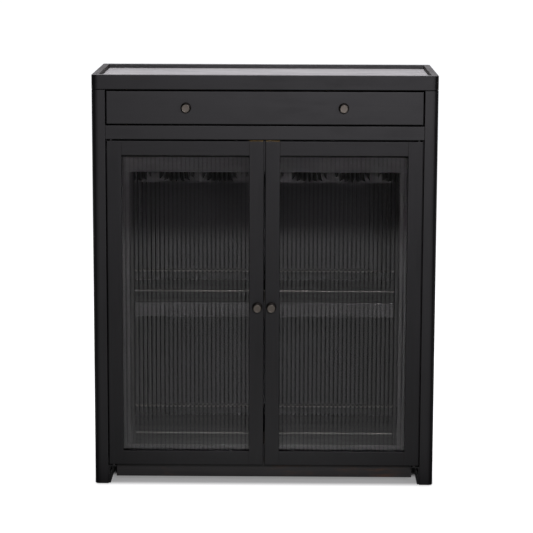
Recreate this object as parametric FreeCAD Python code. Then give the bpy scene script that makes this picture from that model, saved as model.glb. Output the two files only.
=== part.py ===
import FreeCAD, Part
import math
import os

# A free-standing bar cabinet in black-stained wood: a tray top with a stone inset, one wide drawer,
# and two doors of reeded glass in front of a stemware rack, a shelf and gallery rods.
# Millimetres. +X is the viewer's right, +Y the back, +Z up. The origin is on the floor, under the
# middle of the box that holds the cabinet and the knobs that stand out of its front.

# Overall sizes
width = 1016.0
depth = 432.0
height = 1233.5

# Side slabs, which stand on the floor as the feet
side_thickness = 40.0
corner_radius = 12.0
edge_ease = 1.5
foot_chamfer = 1.5

# Strips along the inner faces of the feet, behind the front
foot_strip_thickness = 6.0
foot_strip_height = 28.0
foot_strip_setback = 8.0
foot_strip_length = 130.0

# Nail-on floor glides
glide_height = 2.0
glide_radius = 12.0
glide_inset = 34.0
glide_nail_radius = 1.2
glide_nail_length = 14.0

# Tray top: a mitred frame, a board in it and a stone slab on the board
top_height = 43.0
top_rail_width = 20.0
tray_recess = 11.5
stone_thickness = 12.0
stone_clearance = 0.5
stone_ease = 1.0

# Gaps round the drawer front and the doors, and the thickness of what fills the front
reveal = 4.2
side_reveal = 3.5
meeting_gap = 4.7
front_thickness = 22.0

# Drawer
drawer_front_height = 96.6
drawer_side_lift = 8.0
drawer_side_drop = 18.6
drawer_board = 14.0
drawer_rear_gap = 32.0
drawer_bottom_thickness = 6.0
drawer_bottom_rise = 8.0
drawer_groove_depth = 6.0

# Two-member drawer runners
runner_space = 13.0
runner_height = 35.0
runner_gauge = 1.5
runner_flange_gap = 3.0
runner_clearance = 0.4
runner_end_gap = 9.8

# Rail under the drawer, and the dust panel behind it
divider_height = 41.0
dust_thickness = 18.0

# Doors
door_floor_gap = 61.2
frame_member = 43.0
rabbet_width = 9.0
bead_thickness = 4.1
glass_thickness = 4.0
glass_clearance = 1.0
reed_pitch = 12.7
reed_height = 1.5

# Door pivots: a pin at the top and the bottom of each hinge stile
pivot_inset = 12.0
pivot_setback = 8.0
pivot_pin_radius = 3.0
pivot_pin_reach = 14.0
pivot_bush_wall = 1.5
pivot_bush_spare = 4.0
pivot_flange = 1.8
bracket_gap = 3.4
bracket_thickness = 3.0
bracket_leg = 26.0
bracket_setback = 0.5
bracket_breadth = 18.0
bracket_margin = 9.0

# Knobs on round backplates
knob_projection = 25.0
knob_face_radius = 12.0
knob_head_thickness = 9.0
knob_edge_radius = 2.0
knob_neck_radius = 5.0
knob_dish = 0.7
knob_rim = 1.6
backplate_radius = 15.5
backplate_thickness = 2.5
knob_screw_radius = 2.0
knob_screw_head_radius = 4.5
knob_screw_head_height = 2.5
knob_screw_reach = 10.0
drawer_knob_offset = 231.0
door_knob_height = 544.9
door_knob_inset = 18.3

# Brass catch plates on the doors, and the magnets above them
catch_length = 39.0
catch_width = 10.0
catch_thickness = 1.2
catch_inset = 2.8
catch_screw_inset = 4.5
catch_screw_radius = 1.2
catch_screw_head_radius = 2.4
catch_screw_head_height = 1.1
catch_screw_length = 16.0
magnet_height = 8.0
magnet_proud = 0.6
catch_clearance = 1.3

# Inside: everything behind the doors starts one gap behind their backs
inner_gap = 8.0
shelf_rise = 436.0
shelf_thickness = 44.0
shelf_clearance = 0.5
cleat_thickness = 18.0
cleat_height = 28.0
cleat_end_gap = 12.0
floor_top = 118.0
floor_thickness = 44.0

# Inner frame and stemware rack: a header on two stiles, a board and bell-shaped rails under the board
header_drop = 100.0
header_thickness = 18.0
inner_stile_width = 75.0
rack_board_lift = 12.0
rack_board_thickness = 18.0
stem_rail_count = 6
stem_rail_margin = 90.0
stem_rail_base = 101.0
stem_rail_web = 28.0
stem_rail_neck = 9.5
stem_rail_lip = 4.5
stem_rail_flare = 31.0
stem_rail_end_gap = 9.0

# Gallery rods on the shelf and on the cabinet's floor
rod_radius = 3.0
rod_height = 33.0
rod_front_offset = 10.0
rod_back_offset = 18.0
rod_end_gap = 12.0
post_radius = 5.0
post_base_radius = 8.0
post_base_height = 2.5
post_cap = 3.0
post_end_inset = 30.0
rod_socket = 10.0

# Toe board
toe_inset = 4.0
toe_thickness = 18.0
toe_floor_gap = 16.5
toe_end_gap = 22.0

# Back panel, let into the sides and screwed on from behind
back_thickness = 12.0
back_inset = 16.0
back_let_in = 14.0
back_clearance = 0.5
back_screw_count = 6
back_screw_radius = 1.75
back_screw_head_radius = 4.0
back_screw_head_height = 2.0
back_screw_reach = 18.0
back_screw_margin = 60.0

# Stop buttons that the doors close on
stop_radius = 6.0
stop_inset = 26.0
stop_drop = 34.0
stop_rise = 22.0

# Fits
pin_clearance = 0.05
press_clearance = 0.05
seat_clearance = 0.2
running_gap = 0.3
overrun = 5.0
full_turn = 360.0
tolerance_share = 0.01
middle_share = 0.5

# Places that follow from the sizes above
half_width = width / 2
front = knob_projection - (depth + knob_projection) / 2
back = front + depth
inner_half = half_width - side_thickness
top_bottom = height - top_height
drawer_front_top = top_bottom - reveal
drawer_front_bottom = drawer_front_top - drawer_front_height
divider_top = drawer_front_bottom - reveal
divider_bottom = divider_top - divider_height
dust_bottom = divider_top - dust_thickness
catch_stack = catch_thickness + catch_screw_head_height + catch_clearance + magnet_proud
door_top = divider_bottom - catch_stack
door_bottom = door_floor_gap
front_back = front + front_thickness
inner_front = front_back + inner_gap
back_panel_rear = back - back_inset
back_panel_front = back_panel_rear - back_thickness
shelf_top = floor_top + shelf_rise
shelf_bottom = shelf_top - shelf_thickness
floor_bottom = floor_top - floor_thickness
door_outer = inner_half - side_reveal
door_inner = meeting_gap / 2
pane_depth = reed_height + glass_thickness
rabbet_depth = seat_clearance + pane_depth + seat_clearance + bead_thickness
header_bottom = divider_bottom - header_drop
rack_board_bottom = header_bottom + rack_board_lift
header_rear = inner_front + header_thickness
inner_stile_edge = inner_half - inner_stile_width
rod_front = inner_front + rod_front_offset
rod_back = back_panel_front - rod_back_offset
drawer_outer = inner_half - runner_space
drawer_low = drawer_front_bottom + drawer_side_lift
drawer_high = drawer_front_top - drawer_side_drop
drawer_rear = back_panel_front - drawer_rear_gap
runner_middle = (drawer_low + drawer_high) / 2
runner_front = front_back + seat_clearance
runner_rear = drawer_rear - runner_end_gap
pivot_y = front + pivot_setback
pivot_bush_length = pivot_pin_reach + pivot_bush_spare
bracket_top = door_bottom - bracket_gap
toe_front = inner_front + toe_inset
LEFT, RIGHT = -1, 1
SIDES = {"left": LEFT, "right": RIGHT}


def point(x, y, z):
    return FreeCAD.Vector(x, y, z)


X_AXIS = point(1, 0, 0)
Y_AXIS = point(0, 1, 0)
Z_AXIS = point(0, 0, 1)


def board(xs, ys, zs):
    """A rectangular board between two values on each axis, given in either order."""
    lows = [min(pair) for pair in (xs, ys, zs)]
    sizes = [abs(pair[1] - pair[0]) for pair in (xs, ys, zs)]
    return Part.makeBox(*sizes, point(*lows))


def rod(radius, start, end):
    """A round bar from one point to another."""
    return Part.makeCylinder(radius, (end - start).Length, start, end - start)


def both(side, first, second):
    """A pair of X values on one side of the cabinet."""
    return (side * first, side * second)


def across(reach):
    """A pair of X values that lie evenly about the middle."""
    return (-reach, reach)


def ease(shape, radius, chosen):
    """Rounds the edges whose middle point and direction the test accepts."""
    edges = []
    for edge in shape.Edges:
        ends = [vertex.Point for vertex in edge.Vertexes]
        if len(ends) == 2 and chosen((ends[0] + ends[1]) * middle_share, ends[1] - ends[0]):
            edges.append(edge)
    return shape.makeFillet(radius, edges)


def near(a, b):
    return abs(a - b) < edge_ease * tolerance_share


def rim_at(shape, level):
    """The edges that lie at one height."""
    return [edge for edge in shape.Edges if all(near(vertex.Z, level) for vertex in edge.Vertexes)]


def upright(direction):
    return near(direction.x, 0) and near(direction.y, 0)


def turned(outline, centre):
    """Turns an outline of (radius, distance) corners about -Y, through a point on a panel's front."""
    corners = [point(radius, -along, 0) for radius, along in outline]
    face = Part.Face(Part.makePolygon(corners + corners[:1]))
    solid = face.revolve(point(0, 0, 0), Y_AXIS, full_turn)
    solid.translate(centre)
    return solid


pieces = {}


def side_slab(side):
    """A slab with rounded outer corners, chamfered feet and top, and a rabbet for the back panel."""
    slab = board(both(side, inner_half, half_width), (front, back), (glide_height, top_bottom))
    slab = ease(slab, corner_radius, lambda m, d: upright(d) and near(abs(m.x), half_width))
    for level, size in ((glide_height, foot_chamfer), (top_bottom, edge_ease)):
        rim = [edge for edge in rim_at(slab, level)
               if not all(near(abs(vertex.X), inner_half) for vertex in edge.Vertexes)]
        slab = slab.makeChamfer(size, rim)
    slab = ease(slab, edge_ease, lambda m, d: upright(d) and near(abs(m.x), inner_half) and near(m.y, front))
    rabbet = board(both(side, inner_half - overrun, inner_half + back_let_in),
                   (back_panel_front, back + overrun), (floor_bottom, top_bottom + overrun))
    return slab.cut(rabbet)


def glide_places():
    middle = half_width - side_thickness / 2
    rows = (front + glide_inset, back - glide_inset)
    return [(side * middle, y) for side in (LEFT, RIGHT) for y in rows]


def back_screw_places():
    first = floor_bottom + back_screw_margin
    step = (top_bottom - back_screw_margin - first) / (back_screw_count - 1)
    out = inner_half + back_let_in / 2
    return [(side * out, first + n * step) for side in (LEFT, RIGHT) for n in range(back_screw_count)]


def make_sides():
    for name, side in SIDES.items():
        slab = side_slab(side)
        for x, y in glide_places():
            start = point(x, y, glide_height - overrun)
            end = point(x, y, glide_height + glide_nail_length)
            slab = slab.cut(rod(glide_nail_radius + press_clearance, start, end))
        for x, z in back_screw_places():
            start = point(x, back, z)
            end = point(x, back_panel_front - back_screw_reach, z)
            slab = slab.cut(rod(back_screw_radius + press_clearance, start, end))
        pieces[name + "_side_slab"] = slab


def make_glides():
    glides = []
    for x, y in glide_places():
        pad = rod(glide_radius, point(x, y, 0), point(x, y, glide_height))
        pad = pad.makeChamfer(glide_height / 3, rim_at(pad, 0))
        tip = point(x, y, glide_height + glide_nail_length - press_clearance)
        nail = rod(glide_nail_radius, point(x, y, glide_height / 2), tip)
        glides.append(pad.fuse(nail).removeSplitter())
    pieces["floor_glides"] = glides


def make_foot_strips():
    start = front + foot_strip_setback
    pieces["foot_strips"] = [board(both(side, inner_half - foot_strip_thickness, inner_half),
                                   (start, start + foot_strip_length),
                                   (glide_height, glide_height + foot_strip_height))
                             for side in (LEFT, RIGHT)]


def make_back():
    half = inner_half + back_let_in - back_clearance
    panel = board(across(half), (back_panel_front, back_panel_rear),
                  (floor_bottom + back_clearance, top_bottom - back_clearance))
    screws = []
    for x, z in back_screw_places():
        tip = point(x, back_panel_front - back_screw_reach + press_clearance, z)
        panel = panel.cut(rod(back_screw_radius + press_clearance, point(x, back, z), tip))
        seat = point(x, back_panel_rear, z)
        shank = rod(back_screw_radius, seat + Y_AXIS * back_screw_head_height / 2, tip)
        head = rod(back_screw_head_radius, seat, seat + Y_AXIS * back_screw_head_height)
        screws.append(shank.fuse(head).removeSplitter())
    pieces["back_panel"] = panel
    pieces["back_panel_screws"] = screws


def mitre(corners):
    """An upright prism through the tray top, from its plan corners."""
    base = [point(x, y, top_bottom - overrun) for x, y in corners]
    face = Part.Face(Part.makePolygon(base + base[:1]))
    return face.extrude(Z_AXIS * (top_height + 2 * overrun))


def make_top():
    outer = board(across(half_width), (front, back), (top_bottom, height))
    outer = ease(outer, corner_radius, lambda m, d: upright(d))
    outer = outer.makeFillet(edge_ease, rim_at(outer, height))
    outer = outer.makeChamfer(edge_ease, rim_at(outer, top_bottom))
    hole_x = half_width - top_rail_width
    hole_front = front + top_rail_width
    hole_back = back - top_rail_width
    ring = outer.cut(board(across(hole_x), (hole_front, hole_back), (top_bottom - overrun, height + overrun)))
    ring = ease(ring, edge_ease, lambda m, d: near(m.z, height) and abs(m.x) < hole_x + edge_ease / 2
                and hole_front - edge_ease / 2 < m.y < hole_back + edge_ease / 2)
    outside = [(-half_width, front), (half_width, front), (half_width, back), (-half_width, back)]
    inside = [(-hole_x, hole_front), (hole_x, hole_front), (hole_x, hole_back), (-hole_x, hole_back)]
    for n, name in enumerate(("front", "right", "back", "left")):
        after = (n + 1) % len(outside)
        cutter = mitre([outside[n], outside[after], inside[after], inside[n]])
        pieces["top_" + name + "_rail"] = ring.common(cutter)
    stone_top = height - tray_recess
    stone_bottom = stone_top - stone_thickness
    pieces["top_board"] = board(across(hole_x), (hole_front, hole_back), (top_bottom, stone_bottom))
    stone = board(across(hole_x - stone_clearance),
                  (hole_front + stone_clearance, hole_back - stone_clearance), (stone_bottom, stone_top))
    pieces["stone_inset"] = ease(stone, stone_ease, lambda m, d: near(m.z, stone_top))


def pivot_x(side):
    return side * (door_outer - pivot_inset)


def catch_middle(side):
    return side * (door_inner + catch_inset + catch_length / 2)


def make_divider():
    rail = board(across(inner_half), (front, front_back), (divider_bottom, divider_top))
    rail = ease(rail, edge_ease, lambda m, d: near(m.y, front) and not upright(d))
    magnets = []
    for side in (LEFT, RIGHT):
        mouth = point(pivot_x(side), pivot_y, divider_bottom - overrun)
        end = point(pivot_x(side), pivot_y, divider_bottom + pivot_pin_reach)
        rail = rail.cut(rod(pivot_pin_radius + press_clearance, mouth, end))
        xs = (catch_middle(side) - catch_length / 2, catch_middle(side) + catch_length / 2)
        ys = (front + (front_thickness - catch_width) / 2, front + (front_thickness + catch_width) / 2)
        pocket_top = divider_bottom + magnet_height - magnet_proud
        rail = rail.cut(board(xs, ys, (divider_bottom - overrun, pocket_top)))
        magnets.append(board(xs, ys, (divider_bottom - magnet_proud, pocket_top)))
    pieces["divider_rail"] = rail
    pieces["catch_magnets"] = magnets
    pieces["dust_panel"] = board(across(inner_half), (front_back, back_panel_front),
                                 (dust_bottom, divider_top))


def stem_rail(middle):
    """A bell-shaped rail, hung from the rack board, whose flanges carry the feet of upturned glasses."""
    top = rack_board_bottom
    waist = top - stem_rail_neck
    lip = waist - stem_rail_flare
    low = lip - stem_rail_lip
    web = stem_rail_web / 2
    base = stem_rail_base / 2
    cove_share = math.sqrt(middle_share)
    start = header_rear
    end = back_panel_front - stem_rail_end_gap

    def at(x, z):
        return point(middle + x, start, z)

    def cove(side):
        return at(side * (base - (base - web) * cove_share), waist - stem_rail_flare * cove_share)

    right_cove = Part.Arc(at(web, waist), cove(1), at(base, lip)).toShape()
    left_cove = Part.Arc(at(-base, lip), cove(-1), at(-web, waist)).toShape()
    neck = [at(-web, waist), at(-web, top), at(web, top), at(web, waist)]
    foot = [at(base, lip), at(base, low), at(-base, low), at(-base, lip)]
    edges = [Part.makeLine(*pair) for pair in zip(neck, neck[1:])] + [right_cove]
    edges += [Part.makeLine(*pair) for pair in zip(foot, foot[1:])] + [left_cove]
    return Part.Face(Part.Wire(edges)).extrude(Y_AXIS * (end - start))


def make_rack():
    header = board(across(inner_half), (inner_front, header_rear), (header_bottom, dust_bottom))
    header = ease(header, edge_ease, lambda m, d: near(m.y, inner_front) and near(m.z, header_bottom))
    pieces["rack_header"] = header
    pieces["rack_board"] = board(across(inner_half), (header_rear, back_panel_front),
                                 (rack_board_bottom, rack_board_bottom + rack_board_thickness))
    last = inner_half - stem_rail_margin - stem_rail_base / 2
    pitch = 2 * last / (stem_rail_count - 1)
    pieces["stemware_rails"] = [stem_rail(n * pitch - last) for n in range(stem_rail_count)]


def make_inner_stiles():
    """Upright boards under the header, behind the hinge stiles, drilled for the ends of the front rods."""
    stiles = []
    for side in (LEFT, RIGHT):
        stile = board(both(side, inner_stile_edge, inner_half), (inner_front, header_rear),
                      (floor_top, header_bottom))
        stile = ease(stile, edge_ease, lambda m, d: upright(d) and near(m.y, inner_front)
                     and near(abs(m.x), inner_stile_edge))
        for level in (floor_top, shelf_top):
            start = point(side * (inner_stile_edge - overrun), rod_front, level + rod_height)
            end = point(side * (inner_stile_edge + rod_socket), rod_front, level + rod_height)
            stile = stile.cut(rod(rod_radius + pin_clearance, start, end))
        stiles.append(stile)
    pieces["inner_stiles"] = stiles


def make_shelf():
    half = inner_half - shelf_clearance
    shelf = board(across(half), (inner_front, back_panel_front - shelf_clearance), (shelf_bottom, shelf_top))
    for side in (LEFT, RIGHT):
        shelf = shelf.cut(board(both(side, inner_stile_edge - shelf_clearance, inner_half),
                                (inner_front - overrun, header_rear + shelf_clearance),
                                (shelf_bottom - overrun, shelf_top + overrun)))
    pieces["shelf"] = ease(shelf, edge_ease, lambda m, d: near(m.y, inner_front) and not upright(d))
    cleats = []
    for side in (LEFT, RIGHT):
        cleats.append(board(both(side, inner_half - cleat_thickness, inner_half),
                            (header_rear + cleat_end_gap, back_panel_front - cleat_end_gap),
                            (shelf_bottom - cleat_height, shelf_bottom)))
    pieces["shelf_cleats"] = cleats
    floor = board(across(inner_half), (inner_front, back_panel_front), (floor_bottom, floor_top))
    pieces["cabinet_floor"] = ease(floor, edge_ease, lambda m, d: near(m.y, inner_front) and not upright(d))
    toe = board(across(inner_half - toe_end_gap), (toe_front, toe_front + toe_thickness),
                (toe_floor_gap, floor_bottom))
    toe = ease(toe, edge_ease, lambda m, d: near(m.y, toe_front) and not near(m.z, floor_bottom))
    pieces["toe_board"] = toe


def gallery_post(x, y, level):
    """A turned post on a flat foot, drilled for the rod."""
    top = level + rod_height + rod_radius + post_cap
    stem = rod(post_radius, point(x, y, level), point(x, y, top))
    foot = rod(post_base_radius, point(x, y, level), point(x, y, level + post_base_height))
    post = stem.fuse(foot).removeSplitter()
    post = post.makeFillet(post_cap / 2, rim_at(post, top))
    drill = point(x - post_radius - overrun, y, level + rod_height)
    return post.cut(rod(rod_radius + pin_clearance, drill, drill + X_AXIS * 2 * (post_radius + overrun)))


def make_gallery():
    rods = []
    posts = []
    socketed = inner_stile_edge + rod_socket - press_clearance
    last_post = inner_half - post_end_inset
    rows = ((rod_front, socketed, (0,)), (rod_back, inner_half - rod_end_gap, (-last_post, 0, last_post)))
    for level in (floor_top, shelf_top):
        for y, reach, places in rows:
            high = level + rod_height
            rods.append(rod(rod_radius, point(-reach, y, high), point(reach, y, high)))
            posts += [gallery_post(x, y, level) for x in places]
    pieces["gallery_rods"] = rods
    pieces["gallery_posts"] = posts


def stop_places(side):
    x = side * (door_inner + stop_inset)
    return [(x, divider_bottom - stop_drop), (x, floor_top - stop_rise)]


def make_stops():
    reach = front_back + running_gap
    pieces["door_stops"] = [rod(stop_radius, point(x, inner_front, z), point(x, reach, z))
                            for side in (LEFT, RIGHT) for x, z in stop_places(side)]


def bracket(side):
    """An angle on the side slab, under the door, that carries the bottom pivot pin."""
    ys = (front + bracket_setback, front + bracket_setback + bracket_breadth)
    reach = door_outer - pivot_inset - bracket_margin
    leg = board(both(side, inner_half, inner_half - bracket_thickness), ys,
                (bracket_top - bracket_leg, bracket_top))
    arm = board(both(side, inner_half, reach), ys, (bracket_top - bracket_thickness, bracket_top))
    angle = leg.fuse(arm).removeSplitter()
    low = point(pivot_x(side), pivot_y, bracket_top - bracket_thickness - overrun)
    high = point(pivot_x(side), pivot_y, bracket_top + overrun)
    return angle.cut(rod(pivot_pin_radius + press_clearance, low, high))


def make_pivots():
    pins = []
    for side in (LEFT, RIGHT):
        x = pivot_x(side)
        pins.append(rod(pivot_pin_radius, point(x, pivot_y, door_top - pivot_pin_reach),
                        point(x, pivot_y, divider_bottom + pivot_pin_reach - press_clearance)))
        pins.append(rod(pivot_pin_radius, point(x, pivot_y, bracket_top - bracket_thickness),
                        point(x, pivot_y, door_bottom + pivot_pin_reach)))
    pieces["pivot_pins"] = pins
    pieces["pivot_brackets"] = [bracket(side) for side in (LEFT, RIGHT)]


def trough(side, base, lip, reach):
    """A C-section of thin sheet, its web at one X value and its flanges reaching to another."""
    towards = 1 if lip > base else -1
    inside = reach - runner_gauge
    block = board(both(side, base, lip), (runner_front, runner_rear),
                  (runner_middle - reach, runner_middle + reach))
    hollow = board(both(side, base + towards * runner_gauge, lip + towards * overrun),
                   (runner_front - overrun, runner_rear + overrun),
                   (runner_middle - inside, runner_middle + inside))
    return block.cut(hollow)


def make_runners():
    outer = runner_height / 2
    inner = outer - runner_gauge - runner_clearance
    channel_lip = drawer_outer + runner_flange_gap
    rail_lip = inner_half - runner_gauge - runner_clearance
    pieces["runner_channels"] = [trough(side, inner_half, channel_lip, outer) for side in (LEFT, RIGHT)]
    pieces["runner_rails"] = [trough(side, drawer_outer, rail_lip, inner) for side in (LEFT, RIGHT)]


def knob(centre):
    """A turned knob: a neck, and a head with a rounded edge and a dished face inside a narrow rim."""
    head_back = knob_projection - knob_head_thickness
    rim_inner = knob_face_radius - knob_rim
    dish_floor = knob_projection - knob_dish
    flare = head_back - knob_edge_radius
    outline = [(0, backplate_thickness), (knob_neck_radius, backplate_thickness), (knob_neck_radius, flare),
               (knob_face_radius - knob_edge_radius, head_back),
               (knob_face_radius, head_back + knob_edge_radius),
               (knob_face_radius, knob_projection - knob_edge_radius / 2),
               (knob_face_radius - knob_edge_radius / 2, knob_projection),
               (rim_inner, knob_projection), (rim_inner - knob_dish, dish_floor), (0, dish_floor)]
    solid = turned(outline, centre)
    tip = centre - Y_AXIS * (knob_screw_reach + backplate_thickness + press_clearance)
    return solid.cut(rod(knob_screw_radius + press_clearance, centre, tip))


def backplate(centre):
    """A round plate behind the knob, with a softened front edge."""
    step = backplate_thickness / 2
    bore = knob_screw_radius + press_clearance
    outline = [(bore, 0), (backplate_radius, 0), (backplate_radius, step),
               (backplate_radius - step, backplate_thickness), (bore, backplate_thickness)]
    return turned(outline, centre)


def knob_screw(centre):
    """The machine screw that comes through the panel from behind into the knob."""
    rear = centre + Y_AXIS * front_thickness
    tip = centre - Y_AXIS * (knob_screw_reach + backplate_thickness)
    head = rod(knob_screw_head_radius, rear, rear + Y_AXIS * knob_screw_head_height)
    shank = rod(knob_screw_radius, tip, rear + Y_AXIS * knob_screw_head_height / 2)
    return head.fuse(shank).removeSplitter()


def knob_hole(centre):
    start = centre - Y_AXIS * overrun
    return rod(knob_screw_radius + press_clearance, start, centre + Y_AXIS * (front_thickness + overrun))


def make_drawer():
    panel = board(across(inner_half - side_reveal), (front, front_back),
                  (drawer_front_bottom, drawer_front_top))
    panel = ease(panel, edge_ease, lambda m, d: near(m.y, front))
    inside = drawer_outer - drawer_board
    groove_x = inside + drawer_groove_depth
    groove_front = front_back - drawer_groove_depth
    groove_rear = drawer_rear - drawer_board + drawer_groove_depth
    groove_low = drawer_low + drawer_bottom_rise
    groove_high = groove_low + drawer_bottom_thickness + seat_clearance
    groove = board(across(groove_x), (groove_front, groove_rear), (groove_low, groove_high))
    grip_height = (drawer_front_bottom + drawer_front_top) / 2
    grips = [point(side * drawer_knob_offset, front, grip_height) for side in (LEFT, RIGHT)]
    panel = panel.cut(groove)
    for grip in grips:
        panel = panel.cut(knob_hole(grip))
    pieces["drawer_front"] = panel
    for name, side in SIDES.items():
        wall = board(both(side, inside, drawer_outer), (front_back, drawer_rear), (drawer_low, drawer_high))
        pieces["drawer_" + name + "_side"] = wall.cut(groove)
    end = board(across(inside), (drawer_rear - drawer_board, drawer_rear), (drawer_low, drawer_high))
    pieces["drawer_back"] = end.cut(groove)
    pieces["drawer_bottom"] = board(across(groove_x - seat_clearance),
                                    (groove_front + seat_clearance, groove_rear - seat_clearance),
                                    (groove_low, groove_low + drawer_bottom_thickness))
    pieces["drawer_knobs"] = [knob(grip) for grip in grips]
    pieces["drawer_backplates"] = [backplate(grip) for grip in grips]
    pieces["drawer_knob_screws"] = [knob_screw(grip) for grip in grips]


def pivot_bush(side, low, high, flange_high):
    """A lining for a pivot pin, with a flange at its foot where one is asked for."""
    x = pivot_x(side)
    bore = pivot_pin_radius + pin_clearance
    radius = bore + pivot_bush_wall
    bush = rod(radius, point(x, pivot_y, low), point(x, pivot_y, high))
    if flange_high > low:
        flange = rod(radius + pivot_flange, point(x, pivot_y, low), point(x, pivot_y, flange_high))
        bush = bush.fuse(flange).removeSplitter()
    return bush.cut(rod(bore, point(x, pivot_y, low - overrun), point(x, pivot_y, high + overrun)))


def bush_hole(side, low, high):
    radius = pivot_pin_radius + pin_clearance + pivot_bush_wall + press_clearance
    return rod(radius, point(pivot_x(side), pivot_y, low), point(pivot_x(side), pivot_y, high))


def reeded_pane(left, right, low, high):
    """A sheet of glass with convex reeds on its front face and a flat back."""
    crest = front + front_thickness - rabbet_depth + seat_clearance
    valley = crest + reed_height
    rear = valley + glass_thickness
    count = int((right - left) / reed_pitch)
    margin = (right - left - count * reed_pitch) / 2
    first = left + margin
    edges = []
    for n in range(count):
        start = first + n * reed_pitch
        middle = point(start + reed_pitch / 2, crest, low)
        arc = Part.Arc(point(start, valley, low), middle, point(start + reed_pitch, valley, low))
        edges.append(arc.toShape())
    last = first + count * reed_pitch
    plan = [(last, valley), (right, valley), (right, rear), (left, rear), (left, valley), (first, valley)]
    corners = [point(x, y, low) for x, y in plan]
    edges += [Part.makeLine(*pair) for pair in zip(corners, corners[1:])]
    return Part.Face(Part.Wire(edges)).extrude(Z_AXIS * (high - low))


def make_door(name, side):
    opening_x = (door_inner + frame_member, door_outer - frame_member)
    opening_z = (door_bottom + frame_member, door_top - frame_member)
    frame = board(both(side, door_inner, door_outer), (front, front_back), (door_bottom, door_top))
    frame = frame.cut(board(both(side, *opening_x), (front - overrun, front_back + overrun), opening_z))
    frame = ease(frame, edge_ease, lambda m, d: near(m.y, front))
    rabbet_x = (opening_x[0] - rabbet_width, opening_x[1] + rabbet_width)
    rabbet_z = (opening_z[0] - rabbet_width, opening_z[1] + rabbet_width)
    rabbet_y = (front_back - rabbet_depth, front_back + overrun)
    frame = frame.cut(board(both(side, *rabbet_x), rabbet_y, rabbet_z))
    frame = frame.cut(bush_hole(side, door_top - pivot_bush_length, door_top + overrun))
    frame = frame.cut(bush_hole(side, door_bottom - overrun, door_bottom + pivot_bush_length))
    grip = point(side * (door_inner + door_knob_inset), front, door_knob_height)
    frame = frame.cut(knob_hole(grip))
    catch_xs = [catch_middle(side) + end * (catch_length / 2 - catch_screw_inset) for end in (-1, 1)]
    catch_y = front + front_thickness / 2
    plate_top = door_top + catch_thickness
    for x in catch_xs:
        start = point(x, catch_y, plate_top + overrun)
        end = point(x, catch_y, door_top - catch_screw_length)
        frame = frame.cut(rod(catch_screw_radius + press_clearance, start, end))
    low, high = door_bottom - overrun, door_top + overrun
    ys = (front - overrun, front_back + overrun)
    prefix = name + "_door_"
    members = {"hinge_stile": board(both(side, opening_x[1], door_outer + overrun), ys, (low, high)),
               "meeting_stile": board(both(side, 0, opening_x[0]), ys, (low, high)),
               "top_rail": board(both(side, *opening_x), ys, (opening_z[1], high)),
               "bottom_rail": board(both(side, *opening_x), ys, (low, opening_z[0]))}
    for member, space in members.items():
        pieces[prefix + member] = frame.common(space)
    pane_x = sorted(both(side, rabbet_x[0] + glass_clearance, rabbet_x[1] - glass_clearance))
    pane_z = (rabbet_z[0] + glass_clearance, rabbet_z[1] - glass_clearance)
    pieces[prefix + "glass"] = reeded_pane(*pane_x, *pane_z)
    bead_y = (front_back - bead_thickness, front_back)
    beads = [board(both(side, rabbet_x[0], opening_x[0]), bead_y, rabbet_z)]
    beads.append(board(both(side, opening_x[1], rabbet_x[1]), bead_y, rabbet_z))
    beads.append(board(both(side, *opening_x), bead_y, (rabbet_z[0], opening_z[0])))
    beads.append(board(both(side, *opening_x), bead_y, (opening_z[1], rabbet_z[1])))
    pieces[prefix + "glazing_beads"] = beads
    pieces[prefix + "knob"] = knob(grip)
    pieces[prefix + "backplate"] = backplate(grip)
    plate = board((catch_middle(side) - catch_length / 2, catch_middle(side) + catch_length / 2),
                  (catch_y - catch_width / 2, catch_y + catch_width / 2), (door_top, plate_top))
    screws = [knob_screw(grip)]
    for x in catch_xs:
        tip = point(x, catch_y, door_top - catch_screw_length + press_clearance)
        mouth = point(x, catch_y, plate_top + overrun)
        plate = plate.cut(rod(catch_screw_radius + press_clearance, mouth, tip))
        crown = point(x, catch_y, plate_top + catch_screw_head_height)
        head = rod(catch_screw_head_radius, point(x, catch_y, plate_top), crown)
        head = head.makeFillet(catch_screw_head_height / 2, rim_at(head, crown.z))
        shank = rod(catch_screw_radius, tip, crown - Z_AXIS * catch_screw_head_height / 2)
        screws.append(head.fuse(shank).removeSplitter())
    pieces[prefix + "catch_plate"] = plate
    pieces[prefix + "screws"] = screws
    top_bush = pivot_bush(side, door_top - pivot_bush_length, door_top, 0)
    low_bush = pivot_bush(side, bracket_top + running_gap, door_bottom + pivot_bush_length, door_bottom)
    pieces[prefix + "pivot_bushes"] = [top_bush, low_bush]


make_sides()
make_glides()
make_foot_strips()
make_back()
make_top()
make_divider()
make_rack()
make_inner_stiles()
make_shelf()
make_gallery()
make_stops()
make_pivots()
make_runners()
make_drawer()
for door_name, door_side in SIDES.items():
    make_door(door_name, door_side)

os.makedirs("parts", exist_ok=True)
for node, shape in pieces.items():
    solids = shape if isinstance(shape, list) else [shape]
    solids = [solid for item in solids for solid in item.Solids]
    whole = solids[0] if len(solids) == 1 else Part.makeCompound(solids)
    whole.exportStep("parts/" + node + ".step")
    print(node, len(solids), all(solid.isValid() for solid in solids))
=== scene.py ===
# %% [markdown]
# # A black bar cabinet with reeded-glass doors
# The wooden boards, the stone and the hardware arrive as finished solids, each one at its true
# place, in metres. Blender's work is the look: light, finishes, and the few pieces whose real form
# is finer than a plain solid, such as rolled glass and turned metal.

# %% Load the solids
import math

import bmesh
import bpy
from mathutils import Matrix, Vector


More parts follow.
